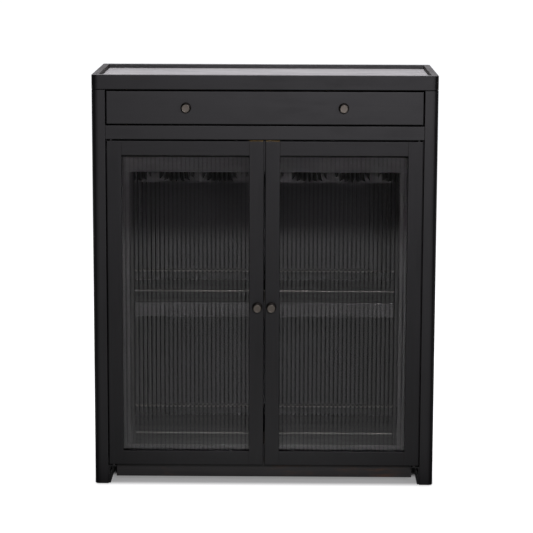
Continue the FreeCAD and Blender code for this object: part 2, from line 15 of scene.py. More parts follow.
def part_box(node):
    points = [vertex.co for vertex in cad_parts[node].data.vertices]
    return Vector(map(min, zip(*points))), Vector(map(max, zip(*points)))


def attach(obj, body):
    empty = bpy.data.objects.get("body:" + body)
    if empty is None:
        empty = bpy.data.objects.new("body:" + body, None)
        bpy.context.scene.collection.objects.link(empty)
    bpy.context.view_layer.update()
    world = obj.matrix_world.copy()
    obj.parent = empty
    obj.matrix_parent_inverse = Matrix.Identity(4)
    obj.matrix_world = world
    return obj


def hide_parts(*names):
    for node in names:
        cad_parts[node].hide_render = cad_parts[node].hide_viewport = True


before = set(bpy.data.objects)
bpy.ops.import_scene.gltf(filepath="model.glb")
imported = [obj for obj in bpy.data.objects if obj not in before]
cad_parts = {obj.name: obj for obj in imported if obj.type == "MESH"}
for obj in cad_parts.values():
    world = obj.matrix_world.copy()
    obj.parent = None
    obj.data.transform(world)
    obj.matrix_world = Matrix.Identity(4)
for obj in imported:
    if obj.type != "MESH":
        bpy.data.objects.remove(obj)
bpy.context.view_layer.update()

scene = bpy.context.scene
scene.view_settings.view_transform = "Standard"

# %% [markdown]
# ## The camera
# The picture was taken from a little above the cabinet's top, almost square to its front, with a
# long lens: the front stays nearly rectangular, and only a sliver of the stone shows. A camera
# matrix is three directions and a place, so the view is written as a direction to look in, a small
# roll and a distance, and the matrix follows.

# %% Camera
IMAGE_SIDE = 533
FOCAL_PIXELS = 2147.4
SENSOR_WIDTH = 36.0
FARTHEST = 200.0
EYE = Vector((0.0682, -6.4717, 1.7453))
TURN, DIP, ROLL = -0.00988, 0.17023, 0.00313

ahead = Vector((math.sin(TURN) * math.cos(DIP), math.cos(TURN) * math.cos(DIP), -math.sin(DIP)))
level = Vector((math.cos(TURN), -math.sin(TURN), 0.0))
above = level.cross(ahead)
right = level * math.cos(ROLL) + above * math.sin(ROLL)
up = above * math.cos(ROLL) - level * math.sin(ROLL)
camera = bpy.data.objects.new("camera", bpy.data.cameras.new("camera"))
camera.data.sensor_width = SENSOR_WIDTH
camera.data.lens = FOCAL_PIXELS / IMAGE_SIDE * SENSOR_WIDTH
camera.data.clip_end = FARTHEST
camera.matrix_world = Matrix((right, up, -ahead)).transposed().to_4x4()
camera.location = EYE
scene.collection.objects.link(camera)
scene.camera = camera
print("lens", round(camera.data.lens, 1), "mm")

# %% [markdown]
# ## Writing materials in code
# A finish is a small graph of nodes, and a few helpers keep the graphs short. The first ones start
# a material with its shader, and add a node and fill its inputs: an input is linked when it is
# given another node's output, and set to a plain value when it isn't. The next ones stand for what
# every finish here uses: where a point lies on the piece, noise stretched along the grain, a soft
# step from one value to another, a mix of two colours, sums and products, and a relief. The last
# ones fill the shader and put a finish on solids by their names.

# %% Start a finish, add a node
def new_finish(name):
    made = bpy.data.materials.new(name)
    made.use_nodes = True
    tree = made.node_tree
    tree.nodes.clear()
    shader = tree.nodes.new("ShaderNodeBsdfPrincipled")
    output = tree.nodes.new("ShaderNodeOutputMaterial")
    tree.links.new(shader.outputs["BSDF"], output.inputs["Surface"])
    return made, tree, shader


def fill(tree, socket, value):
    if isinstance(value, bpy.types.NodeSocket):
        tree.links.new(value, socket)
    else:
        socket.default_value = value


def node(tree, kind, options=None, **inputs):
    made = tree.nodes.new("ShaderNode" + kind)
    for key, value in (options or {}).items():
        setattr(made, key, value)
    for key, value in inputs.items():
        fill(tree, made.inputs[key], value)
    return made


# %% Patterns, steps and mixes
EVEN = (1, 1, 1)


def on_piece(tree):
    return node(tree, "TexCoord").outputs["Object"]


def split(tree, vector):
    return node(tree, "SeparateXYZ", Vector=vector).outputs


def noise(tree, place, stretch, scale, detail=4.0, roughness=0.55):
    mapped = node(tree, "Mapping", Vector=place, Scale=stretch).outputs["Vector"]
    made = node(tree, "TexNoise", Vector=mapped, Scale=scale, Detail=detail, Roughness=roughness)
    return made.outputs["Fac"]


def spread(tree, value, low, high, to_low=0.0, to_high=1.0):
    made = node(tree, "MapRange", {"interpolation_type": "SMOOTHSTEP"}, Value=value)
    for key, number in (("From Min", low), ("From Max", high), ("To Min", to_low), ("To Max", to_high)):
        fill(tree, made.inputs[key], number)
    return made.outputs["Result"]


def between(tree, share, first, second):
    made = tree.nodes.new("ShaderNodeMix")
    made.data_type = "RGBA"
    fill(tree, made.inputs["Factor"], share)
    fill(tree, made.inputs[6], first)
    fill(tree, made.inputs[7], second)
    return made.outputs[2]


# %% Sums, products and reliefs
def sums(tree, how, first, second):
    made = tree.nodes.new("ShaderNodeMath")
    made.operation = how
    fill(tree, made.inputs[0], first)
    fill(tree, made.inputs[1], second)
    return made.outputs["Value"]


def product(tree, first, *others):
    whole = first
    for other in others:
        whole = sums(tree, "MULTIPLY", whole, other)
    return whole


def rest_of(tree, share):
    return sums(tree, "SUBTRACT", 1.0, share)


def unsigned(tree, value):
    return sums(tree, "ABSOLUTE", value, 0.0)


def relief(tree, height, strength, depth, start=None):
    made = node(tree, "Bump", Height=height, Strength=strength, Distance=depth)
    if start is not None:
        tree.links.new(start, made.inputs["Normal"])
    return made.outputs["Normal"]


# %% Fill the shader, dress the solids
def coat(tree, shader, tone, rough, form):
    for key, value in (("Base Color", tone), ("Roughness", rough), ("Normal", form)):
        fill(tree, shader.inputs[key], value)


def dress(finish, *names):
    for name in names:
        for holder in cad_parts[name].material_slots:
            holder.material = finish
    print(finish.name, "on", len(names), "solids")


print("solids to dress:", len(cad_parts))

# %% [markdown]
# ## The studio
# The cabinet stands on a plain pale floor in soft light. A floor that is lit only by lamps goes
# grey at its far end, so the paper glows by itself. Polished things show what stands before them,
# and a black cabinet in a white room would turn grey. A photographer keeps the room dark and lets
# one strip of floor shine between camera and cabinet. The floor does the same here: rays that have
# been mirrored see that strip, and all others see paper. The number of bounces that a ray has
# behind it tells the two apart.

# %% Mirrored rays and seen rays
HALF_A_BOUNCE = 0.5


def bounces(tree):
    path = node(tree, "LightPath").outputs
    return sums(tree, "ADD", path["Glossy Depth"], path["Diffuse Depth"])


def mirrored(tree):
    return sums(tree, "GREATER_THAN", node(tree, "LightPath").outputs["Glossy Depth"], HALF_A_BOUNCE)


def bounced(tree):
    return sums(tree, "GREATER_THAN", bounces(tree), HALF_A_BOUNCE)


def seen(tree):
    path = node(tree, "LightPath").outputs
    straight = sums(tree, "LESS_THAN", bounces(tree), HALF_A_BOUNCE)
    through = product(tree, path["Is Transmission Ray"], straight)
    return sums(tree, "MAXIMUM", path["Is Camera Ray"], through)


# %% [markdown]
# ### The paper and its shade
# A paper that glows would swallow the cabinet's shadow, and the cabinet would seem to float. So the
# glow gives way under it: a soft grey shade lies between the feet, it is black behind the toe
# board, and close to a foot, where an Ambient Occlusion node finds a corner, it is a little darker.
# The shade ends at the cabinet's back.

# %% Paper
SHADE_START, SHADE_WHOLE, SHADE = -0.224, -0.164, 0.73
SHADE_IN, SHADE_OUT = 0.495, 0.520
UNDER_START, UNDER_DARK = -0.115, -0.06
UNDER_IN, UNDER_OUT = 0.475, 0.505
BACK_START, BACK_CLEAR = 0.18, 0.24
FOOT_LINE, FOOT_LINE_GLOW = 0.10, 0.85
AIR_SAMPLES = 8
PAPER_DARK, PAPER_PALE = (0.48, 0.48, 0.48, 1), (0.52, 0.52, 0.52, 1)

paper, tree, shader = new_finish("pale_paper")
place = on_piece(tree)
spot = split(tree, place)
aside, depth = unsigned(tree, spot["X"]), spot["Y"]
fleck = noise(tree, place, EVEN, 2.0)
fill(tree, shader.inputs["Base Color"], between(tree, fleck, PAPER_DARK, PAPER_PALE))
shader.inputs["Roughness"].default_value = 0.9
shader.inputs["Specular IOR Level"].default_value = 0.1
shader.inputs["Emission Color"].default_value = (1, 1, 1, 1)
before_back = spread(tree, depth, BACK_START, BACK_CLEAR, 1.0, 0.0)
under = product(tree, spread(tree, aside, UNDER_IN, UNDER_OUT, 1.0, 0.0),
                spread(tree, depth, UNDER_START, UNDER_DARK), before_back)
shade = product(tree, spread(tree, aside, SHADE_IN, SHADE_OUT, SHADE, 0.0),
                spread(tree, depth, SHADE_START, SHADE_WHOLE), before_back)
open_air = node(tree, "AmbientOcclusion", {"samples": AIR_SAMPLES}, Distance=FOOT_LINE).outputs["AO"]
shine = product(tree, rest_of(tree, shade), rest_of(tree, under),
                spread(tree, open_air, 0.0, 0.8, FOOT_LINE_GLOW, 1.0))
fill(tree, shader.inputs["Emission Strength"], shine)
paper.cycles.emission_sampling = "NONE"
print("shade between the feet:", SHADE)

# %% [markdown]
# ### The strip of floor in the glass
# The strip is strongest straight ahead of the doors, and weaker the further a point lies to the
# side, seen from them. It brightens close to the cabinet and fades about five metres away. In the
# panes that far end is the soft line above which the glass grows dark. Beside the cabinet the floor
# keeps a faint glow, so that a black side seen from the side still has a form.

# %% Strip that mirrored rays see
STRIP_FADE, STRIP_FAR = 4.6, 5.55
STRIP_NEAR, STRIP_END = -0.42, -0.27
STRIP_WIDE, STRIP_DIM, STRIP_DARK = 0.36, 1.0, 2.2
DIM_SHARE, DARK_SHARE = 0.30, 0.05
CLOSE_START, CLOSE_WHOLE, CLOSE_GAIN = -0.9, -0.55, 1.75
DOOR_PLANE, LEAST_AHEAD = -0.19, 0.55
STRIP_GLOW, LEAST_GLOW, SCATTERED_GLOW = 0.40, 0.02, 0.10
BESIDE_START, BESIDE_WHOLE = 0.6, 1.2
BESIDE_FRONT, BESIDE_BACK = -0.25, 0.10
BESIDE_WEAK, BESIDE_GLOW = 0.03, 0.26

ahead_of_doors = sums(tree, "MAXIMUM", sums(tree, "SUBTRACT", DOOR_PLANE, depth), LEAST_AHEAD)
bearing = sums(tree, "DIVIDE", aside, ahead_of_doors)
away = node(tree, "VectorMath", {"operation": "LENGTH"}, Vector=place).outputs["Value"]
strip = product(tree, spread(tree, bearing, STRIP_WIDE, STRIP_DIM, 1.0, DIM_SHARE),
                spread(tree, bearing, STRIP_DIM, STRIP_DARK, 1.0, DARK_SHARE),
                spread(tree, away, STRIP_FADE, STRIP_FAR, 1.0, DARK_SHARE),
                spread(tree, depth, STRIP_NEAR, STRIP_END, 1.0, 0.0),
                spread(tree, depth, CLOSE_START, CLOSE_WHOLE, 1.0, CLOSE_GAIN), STRIP_GLOW)
beside = product(tree, spread(tree, aside, BESIDE_START, BESIDE_WHOLE),
                 spread(tree, depth, BESIDE_FRONT, BESIDE_BACK, BESIDE_WEAK, BESIDE_GLOW))
in_mirror = sums(tree, "ADD", strip, sums(tree, "MAXIMUM", beside, LEAST_GLOW))
glow_strength = sums(tree, "ADD", product(tree, mirrored(tree), in_mirror),
                     product(tree, rest_of(tree, mirrored(tree)), SCATTERED_GLOW))
glow = node(tree, "Emission", Strength=glow_strength).outputs["Emission"]
choice = node(tree, "MixShader", Fac=bounced(tree))
tree.links.new(shader.outputs["BSDF"], choice.inputs[1])
tree.links.new(glow, choice.inputs[2])
tree.links.new(choice.outputs["Shader"], tree.nodes["Material Output"].inputs["Surface"])
print("strip of floor ends", STRIP_FAR, "m away")

# %% Sheet of paper
FLOOR_RADIUS, FLOOR_DROP, FLOOR_SIDES = 9.0, 0.0005, 96
sheet = bmesh.new()
bmesh.ops.create_circle(sheet, cap_ends=True, segments=FLOOR_SIDES, radius=FLOOR_RADIUS)
bmesh.ops.translate(sheet, verts=sheet.verts, vec=(0.0, 0.0, -FLOOR_DROP))
paper_data = bpy.data.meshes.new("paper_floor")
sheet.to_mesh(paper_data)
sheet.free()
paper_data.materials.append(paper)
paper_floor = bpy.data.objects.new("paper_floor", paper_data)
scene.collection.objects.link(paper_floor)
print("floor radius", FLOOR_RADIUS, "m")

# %% [markdown]
# ### The air
# The air is white to the eye and dim as a lamp. Mirrored rays find a dark room with one pale wall
# far behind the cabinet, which gives the stone and the edges of the top something to catch.

# %% Air
WHITE, FILL, DARK_ROOM, BACK_WALL = 1.05, 0.07, 0.03, 0.8
WALL_START, WALL_WHOLE = 0.62, 0.97
AIR_TONE = (0.97, 0.98, 1.0, 1)

air = bpy.data.worlds.new("studio_air")
scene.world = air
air.use_nodes = True
tree = air.node_tree
tree.nodes.clear()
heading = split(tree, node(tree, "TexCoord").outputs["Generated"])["Y"]
room = spread(tree, heading, WALL_START, WALL_WHOLE, DARK_ROOM, BACK_WALL)
dim = sums(tree, "ADD", product(tree, mirrored(tree), room),
           product(tree, rest_of(tree, mirrored(tree)), FILL))
air_strength = sums(tree, "MAXIMUM", product(tree, seen(tree), WHITE), dim)
glow = node(tree, "Background", Color=AIR_TONE, Strength=air_strength).outputs["Background"]
tree.links.new(glow, node(tree, "OutputWorld").inputs["Surface"])
print("air: white", WHITE, "fill", FILL)

# %% [markdown]
# ### The lamps
# A soft box stands far in front, higher than the cabinet, and lights the whole front evenly. A
# weak, narrow one at the right gives each knob a short shadow to its left. A wide one behind and
# above lights the stone and the back.

# %% Lamps
LAMP_TONE = (1.0, 0.965, 1.035)


def soft_box(name, size, power, place, target, beam):
    lamp = bpy.data.lights.new(name, "AREA")
    lamp.shape = "RECTANGLE"
    lamp.size, lamp.size_y = size
    lamp.energy = power
    lamp.color = LAMP_TONE
    lamp.spread = math.radians(beam)
    holder = bpy.data.objects.new(name, lamp)
    holder.location = place
    holder.rotation_euler = (Vector(target) - Vector(place)).to_track_quat("-Z", "Y").to_euler()
    holder.visible_camera = False
    scene.collection.objects.link(holder)


soft_box("front_soft_box", (1.4, 0.8), 46.0, (0.5, -5.6, 2.4), (0.0, -0.2, 0.9), 120.0)
soft_box("side_soft_box", (0.8, 0.8), 2.5, (2.4, -3.9, 1.8), (-0.3, -0.2, 1.3), 60.0)
soft_box("rear_soft_box", (5.0, 3.6), 110.0, (0.0, 3.0, 4.2), (0.0, 0.0, 1.0), 150.0)

# %% [markdown]
# ## Black lacquer on wood
# The cabinet's boards are close-grained wood under a satin black lacquer. Seen close, the lacquer
# sinks a little into the pores, its gloss wanders, and handling rubs it thin along the edges, where
# brown shows through. Edges could be marked by hand, but the shader finds them itself: where the
# rounded normal of a Bevel node leaves the true one, there is an edge. The same rounded normal
# makes the sharp edges of the boards look eased.

# %% Edge finder
EASE_SAMPLES = 6


def eased(tree, radius):
    return node(tree, "Bevel", {"samples": EASE_SAMPLES}, Radius=radius).outputs["Normal"]


def edge_share(tree, radius, low, high):
    match = node(tree, "VectorMath", {"operation": "DOT_PRODUCT"})
    tree.links.new(eased(tree, radius), match.inputs[0])
    tree.links.new(node(tree, "NewGeometry").outputs["Normal"], match.inputs[1])
    return spread(tree, rest_of(tree, match.outputs["Value"]), low, high)


# %% [markdown]
# ### Two marks of the side slabs
# The outer front corners of the slabs are fuller than the other edges and turn the light over about
# two centimetres. A bump whose height falls off as a square, from where the turn starts, tilts the
# normal more and more towards the corner. The slabs' inner faces, behind the doors, are painted
# paler, as painted light for the light that falls on them through the glass.

# %% Outer corner and inner face
CORNER_START, CORNER_TURN = 0.488, 12.0
INSIDE_PAINTED_LIGHT = (0.034, 0.0325, 0.0330, 1)
INSIDE_WHOLE, INSIDE_END = 0.4685, 0.4700
INSIDE_FRONT, INSIDE_DEEP = -0.180, -0.170
INSIDE_FOOT, INSIDE_ABOVE = 0.10, 0.12


def outer_corner(tree, place, start):
    aside = unsigned(tree, split(tree, place)["X"])
    into = sums(tree, "MAXIMUM", sums(tree, "SUBTRACT", aside, CORNER_START), 0.0)
    return relief(tree, product(tree, into, into, -1.0), 1.0, CORNER_TURN, start)


# Painted light: the slabs' inner faces behind the doors are painted paler to stand in for light through the
# glass.
def lighten_inner_face(tree, place, body):
    spot = split(tree, place)
    lit_share = product(tree, spread(tree, unsigned(tree, spot["X"]), INSIDE_WHOLE, INSIDE_END, 1.0, 0.0),
                     spread(tree, spot["Y"], INSIDE_FRONT, INSIDE_DEEP),
                     spread(tree, spot["Z"], INSIDE_FOOT, INSIDE_ABOVE))
    return between(tree, lit_share, body, INSIDE_PAINTED_LIGHT)


# %% [markdown]
# ### The coat itself
# Wood grain runs along each board, so the pattern is stretched along X, Y or Z: coarse grain and
# fine pores, a slow cloud of thicker and thinner lacquer, and a smear that carries both the gloss
# and the rubbed edges. The thin coat on the toe board also lets streaks of brown wood through.

# %% Lacquer finish
EASED_EDGE, RUBBED_EDGE = 0.0016, 0.0022
RUBBED, RUBBED_TONE = 0.45, (0.075, 0.060, 0.050, 1)
THIN_COAT, THIN_COAT_GAIN = 0.35, 1.35
PORE_RELIEF, PORE_DEPTH = 0.10, 0.0004


def stretched(along, fine, coarse):
    return tuple(coarse if axis == along else fine for axis in "xyz")


def streaks(tree, place, along):
    thin = noise(tree, place, stretched(along, 1.0, 0.16), 58.0, 5.0, 0.6)
    where = noise(tree, place, EVEN, 7.0, 2.0, 0.5)
    return product(tree, spread(tree, thin, 0.48, 0.66), spread(tree, where, 0.50, 0.62))


def lacquer(name, along, dark, pale, rough, sheen, full_corner=False, inside_painted_light=False, streak=None):
    made, tree, shader = new_finish(name)
    place = on_piece(tree)
    grain = noise(tree, place, stretched(along, 1.0, 0.035), 210.0, 5.0, 0.6)
    pores = noise(tree, place, stretched(along, 1.0, 0.03), 900.0, 2.0, 0.5)
    cloud = noise(tree, place, EVEN, 3.1, 3.0, 0.5)
    smear = noise(tree, place, stretched(along, 1.0, 0.3), 23.0, 4.0, 0.6)
    body = between(tree, spread(tree, grain, 0.35, 0.72), dark, pale)
    thin_tone = tuple(c * THIN_COAT_GAIN for c in pale[:3]) + (1,)
    body = between(tree, spread(tree, cloud, 0.3, 0.75, 0.0, THIN_COAT), body, thin_tone)
    rub = product(tree, edge_share(tree, RUBBED_EDGE, 0.02, 0.30), spread(tree, smear, 0.42, 0.7), RUBBED)
    body = between(tree, rub, body, RUBBED_TONE)
    if inside_painted_light:
        body = lighten_inner_face(tree, place, body)
    if streak is not None:
        body = between(tree, streaks(tree, place, along), body, streak)
    form = eased(tree, EASED_EDGE)
    if full_corner:
        form = outer_corner(tree, place, form)
    height = sums(tree, "ADD", product(tree, grain, 0.6), product(tree, pores, 0.4))
    coat(tree, shader, body, spread(tree, smear, 0.25, 0.8, rough - 0.05, rough + 0.09),
         relief(tree, height, PORE_RELIEF, PORE_DEPTH, form))
    shader.inputs["Specular IOR Level"].default_value = sheen
    return made


# %% [markdown]
# ### The coat on the boards
# One finish doesn't do for all boards. The front is deep black. The doors are a little less glossy.
# The boards inside are shinier and painted greyer, as painted light for the light they get through
# the glass. The side rails of the top are dull and painted a paler brown, as a painted sheen for
# the light their tops catch at a low angle. The toe board is thin.

# %% Lacquer on the boards
SATIN = 0.44
SHEEN, SOFT_SHEEN, INNER_SHEEN = 0.50, 0.42, 0.78
BLACK = (0.0035, 0.0033, 0.0038, 1), (0.0060, 0.0057, 0.0063, 1)
# Painted light: the inner boards' tone is paler than the front's, standing in for light through the glass.
INNER_PAINTED_LIGHT = (0.012, 0.0115, 0.012, 1), (0.020, 0.019, 0.020, 1)
# Painted sheen: the top side rails are painted a paler brown that stands in for the sheen their tops show at
# a low angle.
DULL_PAINTED_SHEEN = (0.020, 0.0165, 0.014, 1), (0.034, 0.028, 0.024, 1)
TOE = (0.0160, 0.0153, 0.0150, 1), (0.025, 0.0230, 0.0218, 1)
TOE_STREAK = (0.066, 0.034, 0.021, 1)
DOORS = ("left_door", "right_door")


def of_doors(*ends):
    return [door + end for door in DOORS for end in ends]


# The foot strips are dark boards set where there is only shade under the cabinet: a painted shade.
dress(lacquer("black_lacquer_across", "x", *BLACK, SATIN, SHEEN),
      "top_back_rail", "divider_rail", "foot_strips", "drawer_front")
dress(lacquer("black_lacquer_deep", "y", *DULL_PAINTED_SHEEN, 0.56, 0.16), "top_left_rail", "top_right_rail")
dress(lacquer("black_lacquer_upright", "z", *BLACK, SATIN, SHEEN, full_corner=True, inside_painted_light=True),
      "left_side_slab", "right_side_slab")
dress(lacquer("top_rail_lacquer", "x", *BLACK, SATIN, SOFT_SHEEN, full_corner=True), "top_front_rail")
dress(lacquer("door_lacquer_across", "x", *BLACK, SATIN, SOFT_SHEEN),
      *of_doors("_top_rail", "_bottom_rail"))
dress(lacquer("door_lacquer_upright", "z", *BLACK, SATIN, SOFT_SHEEN),
      *of_doors("_hinge_stile", "_meeting_stile", "_glazing_beads"))
dress(lacquer("inner_lacquer_across", "x", *INNER_PAINTED_LIGHT, SATIN, INNER_SHEEN),
      "rack_header", "shelf", "cabinet_floor")
dress(lacquer("inner_lacquer_deep", "y", *INNER_PAINTED_LIGHT, SATIN, INNER_SHEEN),
      "stemware_rails", "shelf_cleats")
dress(lacquer("inner_lacquer_upright", "z", *INNER_PAINTED_LIGHT, SATIN, INNER_SHEEN), "inner_stiles")
dress(lacquer("thin_toe_lacquer", "x", *TOE, 0.42, 0.60, streak=TOE_STREAK), "toe_board")

# %% [markdown]
# ## Stained board
# The back, the board under the stone and the two hidden panels are veneered board with a thin dark
# stain and no lacquer, so they are flatter and greyer than the black, and the veneer's figure still
# shows through. Part of that grey is painted light: the tones are made paler than the stain alone,
# to stand in for the light that reaches the back through the glass.

# %% Stained board finish
# Painted light: these tones are paler than the stain alone, standing in for light through the glass.
STAIN_DARK, STAIN_PALE = (0.0515, 0.0517, 0.0540, 1), (0.0990, 0.0978, 0.1005, 1)
STAIN_BAND, STAIN_PORE = (0.0765, 0.0760, 0.0782, 1), (0.0383, 0.0380, 0.0393, 1)
STAIN_SHEEN = 0.12


def stain_and_painted_light(name, along):
    made, tree, shader = new_finish(name)
    place = on_piece(tree)
    warp = noise(tree, place, stretched(along, 1.0, 0.2), 5.0, 3.0)
    figure = noise(tree, place, stretched(along, 1.0, 0.06), 46.0, 6.0, 0.65)
    pores = noise(tree, place, stretched(along, 1.0, 0.03), 620.0, 2.0)
    tone = between(tree, spread(tree, figure, 0.3, 0.7), STAIN_DARK, STAIN_PALE)
    tone = between(tree, spread(tree, warp, 0.35, 0.7, 0.0, 0.5), tone, STAIN_BAND)
    tone = between(tree, spread(tree, pores, 0.60, 0.75, 0.0, 0.7), tone, STAIN_PORE)
    coat(tree, shader, tone, spread(tree, figure, 0.2, 0.8, 0.70, 0.85), relief(tree, pores, 0.18, 0.0003))
    shader.inputs["Specular IOR Level"].default_value = STAIN_SHEEN
    return made


dress(stain_and_painted_light("stained_board_upright", "z"), "back_panel")
dress(stain_and_painted_light("stained_board_across", "x"), "top_board", "dust_panel", "rack_board")

# %% [markdown]
# ## The drawer's own wood
# Only the drawer's front is black. The box behind it is pale hardwood with a clear coat, as is
# usual where linen and tools are kept: long fibres, slow bands of early and late wood, and tiny
# dark flecks.

# %% Drawer wood finish
EARLY_WOOD, LATE_WOOD = (0.50, 0.35, 0.215, 1), (0.36, 0.235, 0.135, 1)
FIBRE, FLECK = (0.29, 0.185, 0.105, 1), (0.20, 0.12, 0.07, 1)


def pale_hardwood(name, along):
    made, tree, shader = new_finish(name)
    place = on_piece(tree)
    bands = noise(tree, place, stretched(along, 1.0, 0.05), 60.0, 5.0, 0.6)
    fibres = noise(tree, place, stretched(along, 1.0, 0.02), 700.0, 3.0, 0.6)
    flecks = noise(tree, place, stretched(along, 1.0, 0.12), 330.0, 1.0)
    tone = between(tree, spread(tree, bands, 0.3, 0.7), EARLY_WOOD, LATE_WOOD)
    tone = between(tree, spread(tree, fibres, 0.3, 0.8, 0.0, 0.45), tone, FIBRE)
    tone = between(tree, spread(tree, flecks, 0.66, 0.74, 0.0, 0.6), tone, FLECK)
    coat(tree, shader, tone, spread(tree, bands, 0.2, 0.8, 0.38, 0.52), relief(tree, fibres, 0.12, 0.0003))
    return made


dress(pale_hardwood("drawer_wood_deep", "y"), "drawer_left_side", "drawer_right_side")
dress(pale_hardwood("drawer_wood_across", "x"), "drawer_back", "drawer_bottom")

# %% [markdown]
# ## Honed marble
# The tray's slab is pale grey marble, honed so that it has a sheen and no mirror. Its veins are
# soft and long and run across the slab. A wave texture bent by noise gives lines that wander, and a
# second, finer set crosses them.

# %% Marble finish
MARBLE_PALE, MARBLE_GREY = (0.47, 0.462, 0.452, 1), (0.40, 0.395, 0.388, 1)
VEIN, THREAD = (0.27, 0.268, 0.266, 1), (0.55, 0.545, 0.535, 1)
BEND, LEAN = 0.55, 1.25
HONED_SHEEN = 0.4

marble, tree, shader = new_finish("honed_marble")
place = on_piece(tree)
drift = node(tree, "TexNoise", Vector=place, Scale=2.6, Detail=6.0, Roughness=0.6).outputs["Color"]
bent = node(tree, "VectorMath", {"operation": "MULTIPLY_ADD"})
for socket, value in zip(bent.inputs, (drift, (BEND, BEND, BEND), place)):
    fill(tree, socket, value)
leaning = node(tree, "Mapping", Vector=bent.outputs["Vector"], Rotation=(0, 0, LEAN)).outputs["Vector"]
vein = node(tree, "TexWave", Vector=leaning, Scale=1.3, Distortion=2.4, Detail=4.0).outputs["Fac"]
thread = node(tree, "TexWave", Vector=leaning, Scale=4.6, Distortion=5.0, Detail=5.0).outputs["Fac"]
cloud = noise(tree, place, (1, 2.2, 1), 5.0, 6.0, 0.6)
grit = noise(tree, place, EVEN, 800.0, 2.0)
tone = between(tree, spread(tree, cloud, 0.3, 0.72), MARBLE_PALE, MARBLE_GREY)
tone = between(tree, spread(tree, vein, 0.80, 1.0, 0.0, 0.42), tone, VEIN)
tone = between(tree, spread(tree, thread, 0.88, 1.0, 0.0, 0.30), tone, THREAD)
coat(tree, shader, tone, spread(tree, cloud, 0.2, 0.8, 0.44, 0.56), relief(tree, grit, 0.05, 0.0002))
shader.inputs["Specular IOR Level"].default_value = HONED_SHEEN
dress(marble, "stone_inset")

# %% [markdown]
# ## Drawn and plated metal
# Zinc-plated steel and brass have a crystal mottle and faint drawing lines. Where a runner or a
# catch lies deep in its recess, its colour is darkened as painted shade, and an Ambient Occlusion
# node finds such places. The rods are drawn bronze and lie free, so they get no painted shade.

# %% Metal finishes
RECESS_PAINTED_SHADE = (0.006, 0.0055, 0.005, 1)
RECESS_SHADE_REACH = 0.03
ZINC = (0.56, 0.56, 0.57, 1), (0.44, 0.45, 0.47, 1)
BRASS = (0.63, 0.43, 0.16, 1), (0.46, 0.30, 0.11, 1)
OILED_STEEL = (0.10, 0.098, 0.096, 1), (0.065, 0.064, 0.063, 1)
ROD = (0.27, 0.261, 0.246, 1), (0.22, 0.212, 0.20, 1)


def drawn_metal(name, tone, worn, rough, along, shade_reach=0.0):
    made, tree, shader = new_finish(name)
    place = on_piece(tree)
    lines = noise(tree, place, stretched(along, 1.0, 0.02), 1500.0, 2.0)
    mottle = noise(tree, place, EVEN, 240.0, 3.0)
    body = between(tree, spread(tree, mottle, 0.3, 0.7), tone, worn)
    # Painted shade: the colour goes dark where the Ambient Occlusion node finds a recess.
    if shade_reach:
        recess_openness = node(tree, "AmbientOcclusion", {"samples": AIR_SAMPLES}, Distance=shade_reach).outputs["AO"]
        body = between(tree, spread(tree, recess_openness, 0.20, 0.60), RECESS_PAINTED_SHADE, body)
    coat(tree, shader, body, spread(tree, lines, 0.25, 0.75, rough - 0.07, rough + 0.09),
         relief(tree, lines, 0.08, 0.0002))
    shader.inputs["Metallic"].default_value = 1.0
    return made


zinc = drawn_metal("zinc_plate", *ZINC, 0.34, "y", RECESS_SHADE_REACH)
brass = drawn_metal("yellow_brass", *BRASS, 0.30, "x", RECESS_SHADE_REACH)
dress(zinc, "runner_channels", "runner_rails")
dress(brass, *of_doors("_catch_plate"))
dress(drawn_metal("oiled_steel", *OILED_STEEL, 0.42, "z"),
      "catch_magnets", "pivot_pins", *of_doors("_pivot_bushes"))
dress(drawn_metal("rod_bronze", *ROD, 0.38, "x"), "gallery_rods")

# %% [markdown]
# ## Paint and nylon
# The pivot brackets are painted black, and the glides and door stops are moulded nylon. Both have a
# fine even skin with a slow cloud in its tone, so one finish with other numbers does for the two.

# %% Paint and nylon finishes
PAINT = (0.003, 0.003, 0.003, 1), (0.006, 0.006, 0.006, 1)
NYLON = (0.035, 0.035, 0.036, 1), (0.055, 0.054, 0.053, 1)


def moulded(name, tone, pale, rough, scale):
    made, tree, shader = new_finish(name)
    place = on_piece(tree)
    skin = noise(tree, place, EVEN, scale, 3.0, 0.6)
    cloud = noise(tree, place, EVEN, 60.0, 3.0)
    coat(tree, shader, between(tree, spread(tree, cloud, 0.3, 0.7), tone, pale),
         spread(tree, skin, 0.3, 0.7, rough - 0.06, rough + 0.08), relief(tree, skin, 0.15, 0.0002))
    return made


dress(moulded("black_bracket_paint", *PAINT, 0.62, 700.0), "pivot_brackets")
dress(moulded("dark_nylon", *NYLON, 0.55, 1400.0), "floor_glides", "door_stops")

# %% [markdown]
# ## Placing new pieces
# Pieces made here are drawn in a bmesh and handed over in one way: merged, with their normals
# turned outwards, smooth except at creases, riding on the body that carries them and standing in
# for the plain solid. Operators that copy or extrude give back points, edges and faces together, so
# a second helper picks out the points to move.

# %% Handing over a piece
def hand_over(drawing, name, finish, body, stands_for, crease):
    bmesh.ops.remove_doubles(drawing, verts=drawing.verts, dist=1e-6)
    bmesh.ops.recalc_face_normals(drawing, faces=drawing.faces)
    data = bpy.data.meshes.new(name)
    drawing.to_mesh(data)
    drawing.free()
    for face in data.polygons:
        face.use_smooth = True
    data.set_sharp_from_angle(angle=math.radians(crease))
    data.materials.append(finish)
    piece = bpy.data.objects.new(name, data)
    scene.collection.objects.link(piece)
    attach(piece, body)
    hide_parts(*stands_for)
    print(name, len(data.polygons), "faces")


def points_of(geometry):
    return [v for v in geometry if isinstance(v, bmesh.types.BMVert)]


